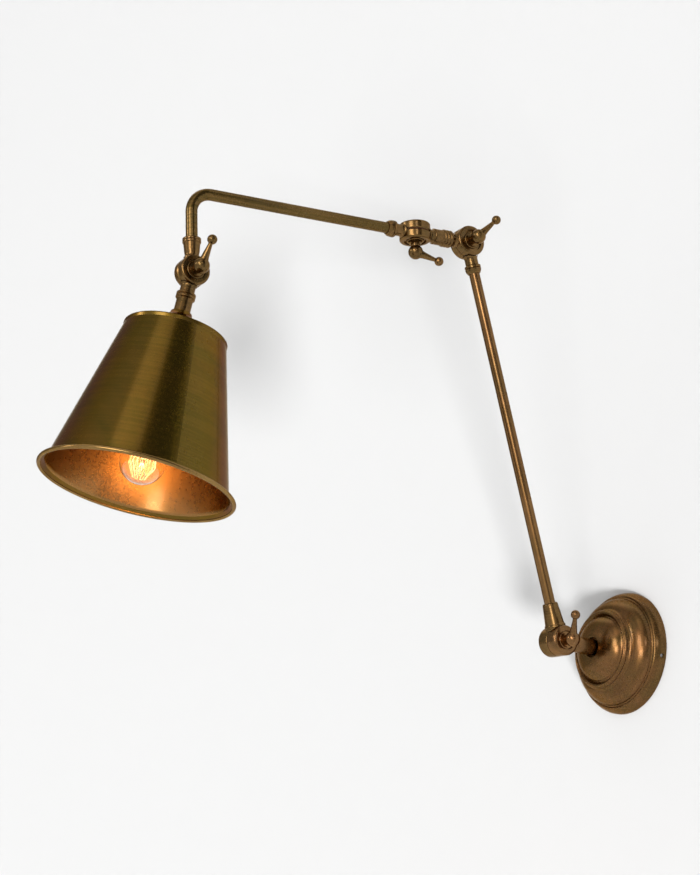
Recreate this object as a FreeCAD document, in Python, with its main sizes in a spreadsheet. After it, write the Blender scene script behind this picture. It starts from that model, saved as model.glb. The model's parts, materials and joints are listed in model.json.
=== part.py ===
import FreeCAD, Part
import math
import os
import Sketcher

# An articulating wall lamp in aged brass.  The wall plate's back is at y = 0, the lamp
# reaches towards -y, +z is up.  Every knuckle is two half-lapped drums on one clamp bolt,
# locked by a ball-and-lever nut.  Lengths are in millimetres.

doc = FreeCAD.newDocument("articulating_wall_lamp")
sheet = doc.addObject("Spreadsheet::Sheet", "Sizes")

DIMENSIONS = {
    # chain of joints
    "baseReach": 93.6, "lowerArmLength": 451.0, "lowerArmLean": 19.3, "linkLength": 69.7,
    "linkDroop": 7.3, "upperArmLength": 267.9, "headDrop": 85.5, "bendRadius": 22.0,
    "shadeTilt": 15.1,
    # tube stock and the wire way
    "tubeRadius": 6.0, "tubeBoreRadius": 4.6, "wireRadius": 3.6, "socketGap": 0.03,
    # knuckles
    "drumRadius": 17.3, "headDrumRadius": 15.6, "barrelRadius": 16.4, "drumReach": 10.0,
    "barrelFront": 14.0, "barrelRear": 16.5, "seamGap": 0.8, "seamBevel": 1.2,
    "drumShoulder": 2.4, "barrelShoulder": 3.2, "barrelRound": 4.0, "rimWidth": 2.6, "recessDepth": 1.8,
    "lapGap": 0.5, "hubRadius": 7.6, "drumWall": 4.2, "boltRadius": 3.0, "runningGap": 0.05,
    "headRadius": 5.8, "headDepth": 3.6, "washerThickness": 0.55, "nutOffset": 22.0,
    "barrelNutOffset": 23.9,
    # ball-and-lever nuts
    "nutBallRadius": 8.1, "nutNeckRadius": 5.0, "nutFlangeRadius": 7.4, "leverLength": 27.4,
    "leverRise": 24.9, "baseLeverTurn": 105.0, "elbowLeverTurn": 124.8, "swingLeverTurn": 30.1,
    "headLeverTurn": -14.8, "leverRootRadius": 4.3, "leverTipRadius": 2.2, "leverBallRadius": 5.0,
    # wall plate and canopy
    "plateRadius": 50.0, "plateThickness": 2.0, "slotSpacing": 60.0, "slotLength": 12.0,
    "slotRadius": 2.5, "inletRadius": 6.5, "canopyRadius": 67.3, "canopyGrooveRadius": 60.8,
    "canopyGrooveDepth": 13.7, "canopyBeadRadius": 40.0, "canopyBeadDepth": 36.3,
    "canopyWall": 1.5, "canopySeat": 44.0, "canopyTop": 48.6, "throatRadius": 10.6,
    "stemRadius": 8.9, "nippleRadius": 5.0, "gripHeight": 5.0, "gripTurn": 7.6,
    # head: distances run down the shade's axis from the head knuckle
    "capSeat": 46.0, "shadeTop": 71.0, "shadeTopRadius": 51.8, "shadeRim": 227.3,
    "shadeRimRadius": 93.3, "shadeFoot": 221.0, "shadeFootRadius": 87.2, "shadeWall": 1.0,
    "rimWire": 2.1, "topWire": 1.4,
    "holderTop": 98.0, "holderShoulder": 122.0, "holderMouth": 176.0, "holderRadius": 18.5,
    "bulbCentre": 203.0, "bulbRadius": 22.5, "bulbLength": 72.0, "glassWall": 0.8,
}


class Size:
    # a number that remembers the sheet expression it came from
    def __init__(self, value, text):
        self.value = value
        self.text = text

    def __add__(self, other):
        other = asSize(other)
        return Size(self.value + other.value, "(%s + %s)" % (self.text, other.text))

    def __sub__(self, other):
        other = asSize(other)
        return Size(self.value - other.value, "(%s - %s)" % (self.text, other.text))

    def __mul__(self, other):
        other = asSize(other)
        return Size(self.value * other.value, "(%s * %s)" % (self.text, other.text))

    def __neg__(self):
        return Size(-self.value, "(0 - %s)" % self.text)

    __radd__ = __add__
    __rmul__ = __mul__


def asSize(number):
    if isinstance(number, Size):
        return number
    return Size(float(number), "(%s)" % float(number))


def fillSheet():
    for row, (alias, number) in enumerate(DIMENSIONS.items(), start=1):
        sheet.set("A%d" % row, alias)
        sheet.set("B%d" % row, str(number))
        sheet.setAlias("B%d" % row, alias)
    doc.recompute()


def size(alias):
    return Size(float(sheet.get(alias)), "Sizes." + alias)


fillSheet()

# placing

def direction(leanFromVertical):
    # in the lamp's plane: 0 is up, positive leans away from the wall
    lean = math.radians(leanFromVertical)
    return FreeCAD.Vector(0, -math.sin(lean), math.cos(lean))


SIDE = FreeCAD.Vector(1, 0, 0)
OUT = FreeCAD.Vector(0, -1, 0)
armLine = direction(size("lowerArmLean").value)
linkLine = direction(90 + size("linkDroop").value)
dropLine = direction(180 + size("linkDroop").value)
shadeLine = direction(180 + size("linkDroop").value - size("shadeTilt").value)
basePivot = OUT * size("baseReach").value
elbowPivot = basePivot + armLine * size("lowerArmLength").value
swingPivot = elbowPivot + linkLine * size("linkLength").value
bendCorner = swingPivot + linkLine * size("upperArmLength").value
headPivot = bendCorner + dropLine * size("headDrop").value


def facing(origin, along, across):
    # a frame whose z runs along one direction and whose x runs across it
    return FreeCAD.Placement(origin, FreeCAD.Rotation(across, along.cross(across), along, "ZXY"))


wallFrame = facing(FreeCAD.Vector(0, 0, 0), OUT, SIDE)
shadeFrame = facing(headPivot, shadeLine, SIDE)

# sketching

pieces = []


def finished(piece, label, place):
    piece.Label = label
    piece.Placement = place
    pieces.append(piece)
    return piece


def newBody(label, place):
    return finished(doc.addObject("PartDesign::Body", label), label, place)


def bind(thing, path, amount):
    thing.setExpression(path, asSize(amount).text)


def originPlane(body, role):
    return [feature for feature in body.Origin.OriginFeatures if feature.Role == role][0]


def newSketch(body, role, lift=0, turn=0, turnAxis=(0, 0, 1)):
    sketch = body.newObject("Sketcher::SketchObject", "Sketch")
    sketch.AttachmentSupport = [(originPlane(body, role), "")]
    sketch.MapMode = "FlatFace"
    sketch.AttachmentOffset = FreeCAD.Placement(
        FreeCAD.Vector(0, 0, asSize(lift).value),
        FreeCAD.Rotation(FreeCAD.Vector(*turnAxis), asSize(turn).value))
    if isinstance(lift, Size):
        bind(sketch, ".AttachmentOffset.Base.z", lift)
    return sketch


def arcBetween(start, end, radius, side):
    # the short arc from start to end; side +1 turns left, -1 turns right
    chord = end - start
    half = chord.Length / 2
    normal = FreeCAD.Vector(-chord.y, chord.x, 0).normalize()
    centre = start + chord * 0.5 + normal * (side * math.sqrt(max(radius * radius - half * half, 0)))
    first, last = (start, end) if side > 0 else (end, start)
    angles = [math.atan2(point.y - centre.y, point.x - centre.x) for point in (first, last)]
    circle = Part.Circle(centre, FreeCAD.Vector(0, 0, 1), radius)
    return Part.ArcOfCircle(circle, angles[0], angles[1])


def drawOutline(sketch, corners, closed=True):
    # corners are (x, y) or (x, y, radius, side), where the last two make the edge that
    # arrives at the corner an arc
    corners = [tuple(asSize(number) for number in corner) for corner in corners]
    points = [FreeCAD.Vector(corner[0].value, corner[1].value, 0) for corner in corners]
    ends = []
    edgeCount = len(corners) if closed else len(corners) - 1
    for index in range(edgeCount):
        target = (index + 1) % len(corners)
        corner = corners[target]
        if len(corner) == 4:
            sketch.addGeometry(arcBetween(points[index], points[target], corner[2].value, corner[3].value))
            ends.append((1, 2) if corner[3].value > 0 else (2, 1))
            rule = sketch.addConstraint(Sketcher.Constraint("Radius", index, corner[2].value))
            bind(sketch, "Constraints[%d]" % rule, corner[2])
        else:
            sketch.addGeometry(Part.LineSegment(points[index], points[target]))
            ends.append((1, 2))
    for index in range(edgeCount if closed else edgeCount - 1):
        after = (index + 1) % edgeCount
        sketch.addConstraint(Sketcher.Constraint("Coincident", index, ends[index][1], after, ends[after][0]))
    for index in range(len(corners)):
        edge = min(index, edgeCount - 1)
        end = ends[edge][0] if index == edge else ends[edge][1]
        for name, amount in (("DistanceX", corners[index][0]), ("DistanceY", corners[index][1])):
            rule = sketch.addConstraint(Sketcher.Constraint(name, -1, 1, edge, end, amount.value))
            bind(sketch, "Constraints[%d]" % rule, amount)


def drawCircle(sketch, x, y, radius):
    x, y, radius = asSize(x), asSize(y), asSize(radius)
    circle = Part.Circle(FreeCAD.Vector(x.value, y.value, 0), FreeCAD.Vector(0, 0, 1), radius.value)
    edge = sketch.addGeometry(circle)
    for rule, amount in ((Sketcher.Constraint("Radius", edge, radius.value), radius),
                         (Sketcher.Constraint("DistanceX", -1, 1, edge, 3, x.value), x),
                         (Sketcher.Constraint("DistanceY", -1, 1, edge, 3, y.value), y)):
        bind(sketch, "Constraints[%d]" % sketch.addConstraint(rule), amount)


def addFeature(body, kind, sketch):
    feature = body.newObject("PartDesign::" + kind, kind)
    feature.Profile = sketch
    body.Tip = feature
    return feature


def spin(body, corners, axis="V_Axis", kind="Revolution", **sketchOptions):
    # turns an outline drawn in the xz plane; V_Axis is the body's z, H_Axis its x
    sketch = newSketch(body, "XZ_Plane", **sketchOptions)
    drawOutline(sketch, corners)
    feature = addFeature(body, kind, sketch)
    feature.ReferenceAxis = (sketch, [axis])
    feature.Angle = 360
    return feature


def turned(label, corners, place, axis="V_Axis"):
    body = newBody(label, place)
    spin(body, corners, axis)
    return body


def ring(inner, outer, low, high):
    return [(inner, low), (outer, low), (outer, high), (inner, high)]


def cutThrough(body, sketch, depth=None, reverse=False, midplane=False):
    pocket = addFeature(body, "Pocket", sketch)
    if depth is None:
        pocket.Type = "ThroughAll"
    else:
        bind(pocket, "Length", depth)
    pocket.Reversed = reverse
    pocket.Midplane = midplane
    return pocket


# knuckles

seam = size("seamGap") * 0.5
tube = size("tubeRadius")
tubeSocket = tube + size("socketGap")


def frontDrum(radius, reach, bevel, shoulder, bore):
    # the half on the nut's side: bevelled seam, rounded shoulder, raised rim, washer recess
    rimInner = radius - shoulder - size("rimWidth")
    floor = reach - size("recessDepth")
    return [(bore, seam), (radius - bevel, seam), (radius, seam + bevel), (radius, reach - shoulder),
            (radius - shoulder, reach, shoulder, 1), (rimInner, reach), (rimInner, floor), (bore, floor)]


def rearDrum(radius, reach, bevel, shoulder, bore):
    # the half on the bolt head's side, with a counterbore for the head
    seat = -(reach - size("headDepth"))
    pocket = size("headRadius") + 0.3
    return [(bore, -seam), (bore, seat), (pocket, seat), (pocket, -reach), (radius - shoulder, -reach),
            (radius, -(reach - shoulder), shoulder, 1), (radius, -(seam + bevel)), (radius - bevel, -seam)]


def knuckleHalf(label, side, radius, reach, neck, boreSteps, place, holdsBolt, bevel, shoulder):
    # side +1 is the nut's side; the neck runs along x, centred on the seam plane
    body = newBody(label, place)
    bore = size("boltRadius") if holdsBolt else size("boltRadius") + size("runningGap")
    drum = frontDrum if side > 0 else rearDrum
    spin(body, drum(radius, reach, bevel, shoulder, bore))
    spin(body, [(size("hubRadius") + 0.4, 0)] + neck + [(neck[-1][0], 0)], "H_Axis")
    if side > 0:
        recess = radius - shoulder - size("rimWidth")
        spin(body, ring(0, recess, reach - size("recessDepth"), reach + 5), kind="Groove")
    lap = radius + size("lapGap")
    beyond = 40
    spin(body, ring(0, lap, -beyond, seam) if side > 0 else ring(0, lap, -seam, beyond), kind="Groove")
    chamber = radius - size("drumWall")
    depth = reach - (size("recessDepth") + 2.2 if side > 0 else size("drumWall") * 0.6)
    low, high = (seam - 0.1, depth) if side > 0 else (-depth, -seam + 0.1)
    spin(body, ring(size("hubRadius"), chamber, low, high), kind="Groove")
    spin(body, [(size("hubRadius") + 0.4, 0)] + boreSteps + [(boreSteps[-1][0], 0)], "H_Axis", kind="Groove")
    return body


def frictionWasher(label, radius, side, place):
    # a fibre ring on the seam face of the half that holds the bolt
    face = seam if side > 0 else -seam
    edge = face - size("washerThickness") if side > 0 else face + size("washerThickness")
    low, high = (edge, face) if side > 0 else (face, edge)
    inner = radius - size("drumWall") + 0.2
    return turned(label, ring(inner, radius - size("seamBevel") - 0.3, low, high), place)


def clampBolt(label, rearReach, nutOffset, place):
    # slotted cheese head in the rear half, shank through both, thread in the ball nut
    shank, head = size("boltRadius"), size("headRadius")
    seat = -(rearReach - size("headDepth"))
    body = turned(label, [
        (0, seat - 2.9), (head - 0.6, seat - 2.9), (head, seat - 2.3, 0.6, 1), (head, seat),
        (shank, seat), (shank, nutOffset - 0.6), (shank - 0.6, nutOffset), (0, nutOffset)], place)
    slot = newSketch(body, "XY_Plane", lift=seat - 2.9)
    drawOutline(slot, [(-0.7, -head - 1), (0.7, -head - 1), (0.7, head + 1), (-0.7, head + 1)])
    cutThrough(body, slot, 1.5, reverse=True)
    return body


def stepWasher(label, floor, place):
    # a domed brass washer in two steps under the nut
    bore = size("boltRadius") + 0.3
    return turned(label, [
        (bore, floor), (9.6, floor), (9.6, floor + 1.0), (8.6, floor + 2.0, 1.0, 1),
        (7.9, floor + 2.0), (7.9, floor + 2.8), (bore, floor + 2.8)], place)


def leverNut(label, floor, nutOffset, turn, place):
    # ball nut with an inclined tapering lever that ends in a small ball
    body = newBody(label, place.multiply(FreeCAD.Placement(
        FreeCAD.Vector(0, 0, 0), FreeCAD.Rotation(FreeCAD.Vector(0, 0, 1), turn.value))))
    base = floor + 2.95
    neck, ball = size("nutNeckRadius"), size("nutBallRadius")
    flange = size("nutFlangeRadius")
    meet = nutOffset - math.sqrt(ball.value ** 2 - neck.value ** 2)
    bore = size("boltRadius") + size("runningGap")
    spin(body, [(bore, base), (flange, base), (flange, base + 0.6), (neck, base + 1.2), (neck, meet),
                (0, nutOffset + ball, ball, 1), (0, nutOffset + 1), (bore, nutOffset + 1)])
    root, tip, end = size("leverRootRadius"), size("leverTipRadius"), size("leverBallRadius")
    length = size("leverLength")
    tipAt = length - math.sqrt(end.value ** 2 - tip.value ** 2)
    start = size("nutBallRadius") * 0.7
    sketch = newSketch(body, "XZ_Plane")
    sketch.AttachmentOffset = FreeCAD.Placement(
        FreeCAD.Vector(0, nutOffset.value, 0),
        FreeCAD.Rotation(FreeCAD.Vector(0, 0, 1), size("leverRise").value))
    bind(sketch, ".AttachmentOffset.Base.y", nutOffset)
    drawOutline(sketch, [(start, 0), (start, root + 0.3), (ball + 1.5, root - 0.5), (tipAt - 0.6, tip),
                         (tipAt, tip), (length + end, 0, end, -1)])
    lever = addFeature(body, "Revolution", sketch)
    lever.ReferenceAxis = (sketch, ["H_Axis"])
    lever.Angle = 360
    return body


def knuckleFastenings(name, axisLine, pivot, neckLine, radius, reaches, nutOffset, boltSide, leverTurn):
    # everything on one pivot besides its two halves; boltSide is the half that holds the bolt
    place = facing(pivot, axisLine, neckLine)
    floor = reaches[0] - size("recessDepth")
    frictionWasher(name + "_friction_washer", radius, boltSide, place)
    clampBolt(name + "_clamp_bolt", reaches[1], nutOffset, place)
    stepWasher(name + "_step_washer", floor, place)
    leverNut(name + "_lever_nut", floor, nutOffset, leverTurn, place)


def straightBore(end):
    return [(size("hubRadius") + 0.4, size("wireRadius")), (end, size("wireRadius"))]


def socketBore(floor, end):
    wire = size("wireRadius")
    return [(size("hubRadius") + 0.4, wire), (floor, wire), (floor, tubeSocket), (end + 0.1, tubeSocket)]


ROOT = size("hubRadius") + 0.4

# base knuckle: long barrel, the stem on the front half, the arm's tapered socket on the rear
socketFloor = asSize(23.9)
socketTop = asSize(41.9)
stemSeat = size("baseReach") - size("canopySeat")
stemEnd = stemSeat + 18
knuckleHalf(
    "stem_knuckle", 1, size("barrelRadius"), size("barrelFront"),
    [(ROOT, size("stemRadius") + 1.6), (size("barrelRadius") - 1, size("stemRadius") + 1.6),
     (size("barrelRadius") + 2, size("stemRadius")), (stemSeat, size("stemRadius")),
     (stemSeat, size("nippleRadius")), (stemEnd - 0.8, size("nippleRadius")),
     (stemEnd, size("nippleRadius") - 0.8)],
    straightBore(stemEnd + 0.1), facing(basePivot, SIDE, -OUT), True, size("runningGap") * 4,
    size("barrelShoulder"))
knuckleHalf(
    "arm_socket_knuckle", -1, size("barrelRadius"), size("barrelRear"),
    [(ROOT, 11.2), (size("barrelRadius") - 1.2, 11.2), (size("barrelRadius") + 2.5, 10.5, 3.2, -1),
     (socketTop - 2.6, 8.5), (socketTop, 7.2, 2.6, -1)],
    socketBore(socketFloor, socketTop), facing(basePivot, SIDE, armLine), False,
    size("runningGap") * 4, size("barrelRound"))
knuckleFastenings("base", SIDE, basePivot, -OUT, size("barrelRadius"),
                  (size("barrelFront"), size("barrelRear")), size("barrelNutOffset"), 1, size("baseLeverTurn"))

# elbow knuckle: the lower arm's collar on the rear half, the link on the front half
collarFloor = asSize(24.5)
collarEnd = asSize(36.5)
reach = size("drumReach")
drum = size("drumRadius")
bevel = size("seamBevel")
shoulder = size("drumShoulder")


def beadedCollar(radius, waist, ringStart, ringRadius, ringEnd, endAt, endRadius):
    # waist, two beads with a groove between them, then a short taper on to the tube
    middle = (ringStart + ringEnd) * 0.5
    return [(ROOT, waist + 1.4), (radius - 0.6, waist + 1.4), (radius + 3.0, waist, 4.6, 1),
            (ringStart - 0.8, waist), (ringStart, ringRadius - 0.5), (ringStart + 0.8, ringRadius, 1.0, -1),
            (middle - 0.7, ringRadius), (middle, ringRadius - 0.9), (middle + 0.7, ringRadius),
            (ringEnd, ringRadius - 0.5), (endAt, endRadius)]


knuckleHalf(
    "elbow_lower_knuckle", -1, drum, reach,
    beadedCollar(drum, 7.3, asSize(27.2), 9.1, asSize(33.6), collarEnd, 6.9),
    socketBore(collarFloor, collarEnd), facing(elbowPivot, SIDE, -armLine), True, bevel, shoulder)
couplerStart = asSize(34.9)
couplerEnd = asSize(46.7)


def linkNeck(radius, end):
    # waist beside the drum, then a plain round barrel up to the coupler
    return [(ROOT, 8.6), (radius - 0.6, 8.6), (radius + 3.2, 7.2, 4.6, 1), (radius + 4.2, 7.2),
            (radius + 6.4, 8.7, 2.6, 1), (end, 8.7)]


def spigotBore(end):
    # wire way with a spigot socket for the coupler
    wire = size("wireRadius")
    return [(ROOT, wire), (end - 5, wire), (end - 5, 5.53), (end + 0.1, 5.53)]


knuckleHalf(
    "elbow_link_knuckle", 1, drum, reach,
    [(ROOT, 8.6), (drum - 0.6, 8.6), (drum + 2.6, 7.2, 4.6, 1), (size("linkLength") - couplerEnd, 8.0)],
    [(ROOT, size("wireRadius")), (size("linkLength") - couplerEnd + 0.1, size("wireRadius"))],
    facing(elbowPivot, SIDE, linkLine), False, bevel, shoulder)
knuckleFastenings("elbow", SIDE, elbowPivot, -armLine, drum, (reach, reach), size("nutOffset"), -1,
                  size("elbowLeverTurn"))

# swing knuckle: the pivot stands across the link, its nut hangs underneath
knuckleHalf(
    "swing_link_knuckle", -1, drum, reach, linkNeck(drum, couplerStart), spigotBore(couplerStart),
    facing(swingPivot, dropLine, -linkLine), True, bevel, shoulder)
knuckleHalf(
    "swing_arm_knuckle", 1, drum, reach,
    beadedCollar(drum, 6.6, asSize(27.0), 9.1, asSize(34.0), asSize(36.6), 7.0),
    socketBore(asSize(24.0), asSize(36.6)), facing(swingPivot, dropLine, linkLine), False, bevel, shoulder)
knuckleFastenings("swing", dropLine, swingPivot, -linkLine, drum, (reach, reach), size("nutOffset"), -1,
                  size("swingLeverTurn"))

# head knuckle, one size smaller: the upper arm's cup collar in front, the shade's neck behind
headDrum = size("headDrumRadius")
knuckleHalf(
    "head_arm_knuckle", 1, headDrum, reach,
    [(ROOT, 8.4), (headDrum - 0.6, 8.4), (headDrum + 2.6, 7.3, 3.6, 1), (21.5, 7.8), (30.0, 8.5),
     (30.8, 9.4, 0.9, -1), (32.0, 9.4), (32.6, 8.8), (33.2, 9.4), (34.4, 9.4), (35.4, 8.4, 1.0, -1)],
    socketBore(asSize(23.3), asSize(35.4)), facing(headPivot, SIDE, -dropLine), True, bevel, shoulder)
knuckleHalf(
    "head_shade_knuckle", -1, headDrum, reach,
    [(ROOT, 8.6), (headDrum - 0.6, 8.6), (headDrum + 2.4, 7.5, 3.6, 1), (23.2, 7.5), (24.2, 9.2),
     (25.0, 9.8, 0.9, -1), (26.6, 9.8), (27.3, 9.0), (28.0, 9.8), (29.6, 9.8), (30.4, 9.0, 0.9, -1),
     (31.4, 8.2), (size("capSeat"), 8.3), (size("capSeat"), size("nippleRadius")),
     (61.2, size("nippleRadius")), (62.0, size("nippleRadius") - 0.8)],
    straightBore(asSize(62.1)), facing(headPivot, SIDE, shadeLine), False, bevel, shoulder)
knuckleFastenings("head", SIDE, headPivot, -dropLine, headDrum, (reach, reach), size("nutOffset"), 1,
                  size("headLeverTurn"))

# link coupler and arms

turned("link_coupler", [
    (size("wireRadius"), couplerStart - 5), (5.5, couplerStart - 5), (5.5, couplerStart), (8.8, couplerStart),
    (9.7, couplerStart + 1.9, 2.4, 1), (8.8, couplerStart + 3.8, 2.4, 1),
    (9.7, couplerStart + 5.8, 2.4, 1), (8.8, couplerStart + 7.8, 2.4, 1),
    (9.7, couplerStart + 9.8, 2.4, 1), (8.4, couplerEnd, 2.4, 1), (size("wireRadius"), couplerEnd)],
    facing(swingPivot, -linkLine, SIDE))

turned("lower_arm_tube",
       ring(size("tubeBoreRadius"), tube, socketFloor, size("lowerArmLength") - collarFloor),
       facing(basePivot, armLine, SIDE))


def bentTube(label, start, corner, drop, bend, place):
    # one straight, one quarter bend and one shorter straight down
    body = newBody(label, place)
    path = newSketch(body, "XZ_Plane")
    drawOutline(path, [(start, 0), (corner - bend, 0), (corner, -bend, bend, -1),
    (corner, -drop)], closed=False)
    section = newSketch(body, "YZ_Plane", lift=start)
    drawCircle(section, 0, 0, tube)
    drawCircle(section, 0, 0, size("tubeBoreRadius"))
    pipe = addFeature(body, "AdditivePipe", section)
    pipe.Spine = (path, ["Edge1", "Edge2", "Edge3"])
    return body


bentTube("upper_arm_tube", asSize(24.0), size("upperArmLength"), size("headDrop") - 23.3, size("bendRadius"),
         facing(swingPivot, -dropLine, linkLine))

# wall plate and canopy


def wallPlate():
    body = newBody("wall_plate", wallFrame)
    disc = newSketch(body, "XY_Plane")
    drawCircle(disc, 0, 0, size("plateRadius"))
    drawCircle(disc, 0, 0, size("inletRadius") + 1.5)
    drawCircle(disc, 0, -27, 2.0)
    bind(addFeature(body, "Pad", disc), "Length", size("plateThickness"))
    for sign in (-1, 1):
        slot = newSketch(body, "XY_Plane")
        middle = size("slotSpacing") * (0.5 * sign)
        half = size("slotLength") * 0.5 - size("slotRadius")
        wide = size("slotRadius")
        drawOutline(slot, [(middle - half, -wide), (middle + half, -wide), (middle + half + wide, 0, wide, 1),
                           (middle + half, wide, wide, 1), (middle - half, wide),
                           (middle - half - wide, 0, wide, 1),
                           (middle - half, -wide, wide, 1)][:-1])
        cutThrough(body, slot, 5, reverse=True)
    for turn in (-size("gripTurn"), 180 + -size("gripTurn")):
        ear = newSketch(body, "XZ_Plane", turn=turn, turnAxis=(0, 1, 0))
        low, high, out = size("plateRadius") - 3, size("plateThickness"), asSize(61.0)
        drawOutline(ear, [(low, 0), (out, 0), (out, 9), (out - high, 9), (out - high, high), (low, high)])
        pad = addFeature(body, "Pad", ear)
        pad.Length = 18
        pad.Midplane = True
    hole = newSketch(body, "YZ_Plane", turn=-size("gripTurn"), turnAxis=(0, 1, 0))
    drawCircle(hole, 0, size("gripHeight"), 1.95)
    cutThrough(body, hole, midplane=True)
    return body


def canopy():
    # spun dome in steps: side wall, groove, ogee, bead, inner dome, throat for the stem
    body = newBody("canopy", wallFrame)
    wall, seat = size("canopyWall"), size("canopySeat")
    outer, groove, grooveAt = size("canopyRadius"), size("canopyGrooveRadius"), size("canopyGrooveDepth")
    bead, beadAt = size("canopyBeadRadius"), size("canopyBeadDepth")
    throat, top = size("throatRadius"), size("canopyTop")
    spin(body, [
        (outer - wall - 0.6, 0), (outer, 0), (outer, 3.5), (outer - 3.2, grooveAt - 2.2, 22, 1),
        (groove + 1.2, grooveAt, 3.4, 1), (groove - 0.2, grooveAt - 0.5), (groove - 1.4, grooveAt + 0.3),
        (groove - 6.5, grooveAt + 10.5, 17, 1), (bead + 5.2, beadAt - 6.8, 19, 1),
        (bead + 2.6, beadAt - 3.4, 4.5, -1), (bead + 1.6, beadAt + 0.6, 2.4, 1),
        (bead - 1.4, beadAt + 0.4, 1.7, 1),
        (bead - 2.6, beadAt - 0.7), (bead - 4.0, beadAt + 0.4), (bead - 14, top - 3.4, 19, 1),
        (throat + 2.2, top, 40, 1), (throat, top - 1.8, 1.9, 1), (throat, seat),
        (size("nippleRadius") + 0.05, seat),
        (size("nippleRadius") + 0.05, seat - wall), (throat + wall, seat - wall), (throat + wall, top - 2.4),
        (bead - 14, top - 5.2), (bead - 5, beadAt - 1.4), (bead - 0.4, beadAt - 2.4),
        (bead + 1, beadAt - 5.4),
        (bead + 5, beadAt - 8.8), (groove - 8, grooveAt + 9.2), (groove - 3.4, grooveAt - 0.8),
        (outer - 5.2, grooveAt - 2.8), (outer - wall - 0.6, 3.5)])
    hole = newSketch(body, "YZ_Plane", turn=-size("gripTurn"), turnAxis=(0, 1, 0))
    drawCircle(hole, 0, size("gripHeight"), 2.25)
    cutThrough(body, hole, midplane=True)
    return body


def block(name, length, width, height, corner):
    box = doc.addObject("Part::Box", name)
    for path, amount in (("Length", length), ("Width", width), ("Height", height)):
        bind(box, path, amount)
    box.Placement.Base = FreeCAD.Vector(*corner)
    return box


def rod(name, radius, height, base, axis=(0, 0, 1)):
    cylinder = doc.addObject("Part::Cylinder", name)
    bind(cylinder, "Radius", radius)
    bind(cylinder, "Height", height)
    turn = FreeCAD.Rotation(FreeCAD.Vector(0, 0, 1), FreeCAD.Vector(*axis))
    cylinder.Placement = FreeCAD.Placement(FreeCAD.Vector(*base), turn)
    return cylinder


def cutFrom(base, tools, name="Cut"):
    for tool in tools:
        cut = doc.addObject("Part::Cut", name)
        cut.Base, cut.Tool = base, tool
        base = cut
    return base


def groupOf(label, members, place):
    group = doc.addObject("Part::Compound", label)
    group.Links = members
    return finished(group, label, place)


def hexNut(label, circumradius, bore, low, height, place):
    nut = doc.addObject("Part::Prism", label + "_prism")
    nut.Polygon = 6
    bind(nut, "Circumradius", circumradius)
    bind(nut, "Height", height)
    nut.Placement.Base = FreeCAD.Vector(0, 0, low)
    hole = rod(label + "_bore", bore, asSize(height) + 2, (0, 0, low - 1))
    return finished(cutFrom(nut, [hole]), label, place)


wallPlate()
canopy()
turned("inlet_grommet", [
    (size("inletRadius"), 0.2), (size("inletRadius") + 1.47, 0.2), (size("inletRadius") + 1.47, 2.05),
    (size("inletRadius") + 3.5, 2.05), (size("inletRadius") + 3.5, 3.6), (size("inletRadius") + 0.8, 4.4),
    (size("inletRadius"), 3.6)], wallFrame)

gripAngle = math.radians(-size("gripTurn").value)
gripScrews = []
for sign in (1, -1):
    outwards = (sign * math.cos(gripAngle), sign * math.sin(gripAngle), 0)
    start = [59.0 * outwards[0], 59.0 * outwards[1], size("gripHeight").value]
    tip = [64.6 * outwards[0], 64.6 * outwards[1], size("gripHeight").value]
    shank = rod("grip_shank", 1.9, 6.4, start, outwards)
    socket = rod("grip_socket", 1.0, 2.5, tip, outwards)
    gripScrews.append(cutFrom(shank, [socket]))
groupOf("canopy_grip_screws", gripScrews, wallFrame)

blockWays = [rod("wire_way", 1.7, 14, (x, 13, 8.2), (0, 1, 0)) for x in (-8, 0, 8)]
screwWays = [rod("screw_way", 1.6, 9, (x, y, 8), (0, 0, 1)) for x in (-8, 0, 8) for y in (16.5, 23.5)]
blockBody = block("terminal_housing", 26, 12, 12, (-13, 14, size("plateThickness").value))
finished(cutFrom(blockBody, blockWays + screwWays), "terminal_block", wallFrame)
groupOf("terminal_screws", [
    rod("terminal_screw", 1.5, 2.6, (x, y, 10.2), (0, 0, 1))
    for x in (-8, 0, 8) for y in (16.5, 23.5)], wallFrame)
turned("earth_screw", [
    (0, 0.2), (1.95, 0.2), (1.95, 2.05), (3.6, 2.05), (3.6, 3.4), (2.6, 4.4, 1.3, 1), (0, 4.4)],
    wallFrame.multiply(FreeCAD.Placement(FreeCAD.Vector(0, -27, 0), FreeCAD.Rotation())))
nutTop = size("canopySeat") - size("canopyWall")
turned("stem_lock_washer", ring(size("nippleRadius") + 0.1, 9.0, nutTop - 1.2, nutTop), wallFrame)
hexNut("stem_nut", 9.0, size("nippleRadius") + 0.05, nutTop.value - 7.2, 6.0, wallFrame)

# shade

capSeat = size("capSeat")
top = size("shadeTop")
topRadius = size("shadeTopRadius")
wall = size("shadeWall")
topWire = size("topWire")
rimWire = size("rimWire")
rim = size("shadeRim")
rimRadius = size("shadeRimRadius")

turned("shade_cap", [
    (size("nippleRadius") + 0.05, capSeat), (10.6, capSeat), (17.6, capSeat + 8.6, 13, -1),
    (30.0, capSeat + 16.2, 34, -1), (topRadius - topWire - 0.6, top - 1.5, 90, -1),
    (topRadius, top, topWire, 1), (topRadius - 0.4, top + 2.6), (topRadius - 1.2, top + 2.6),
    (topRadius - 1.8, top + 0.8), (topRadius - 4.5, top - 0.3), (30.0, capSeat + 17.4, 88, 1),
    (17.2, capSeat + 9.8, 33, 1), (10.2, capSeat + 1.1, 12, 1), (size("nippleRadius") + 0.05, capSeat + 1.0)],
    shadeFrame)

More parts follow.
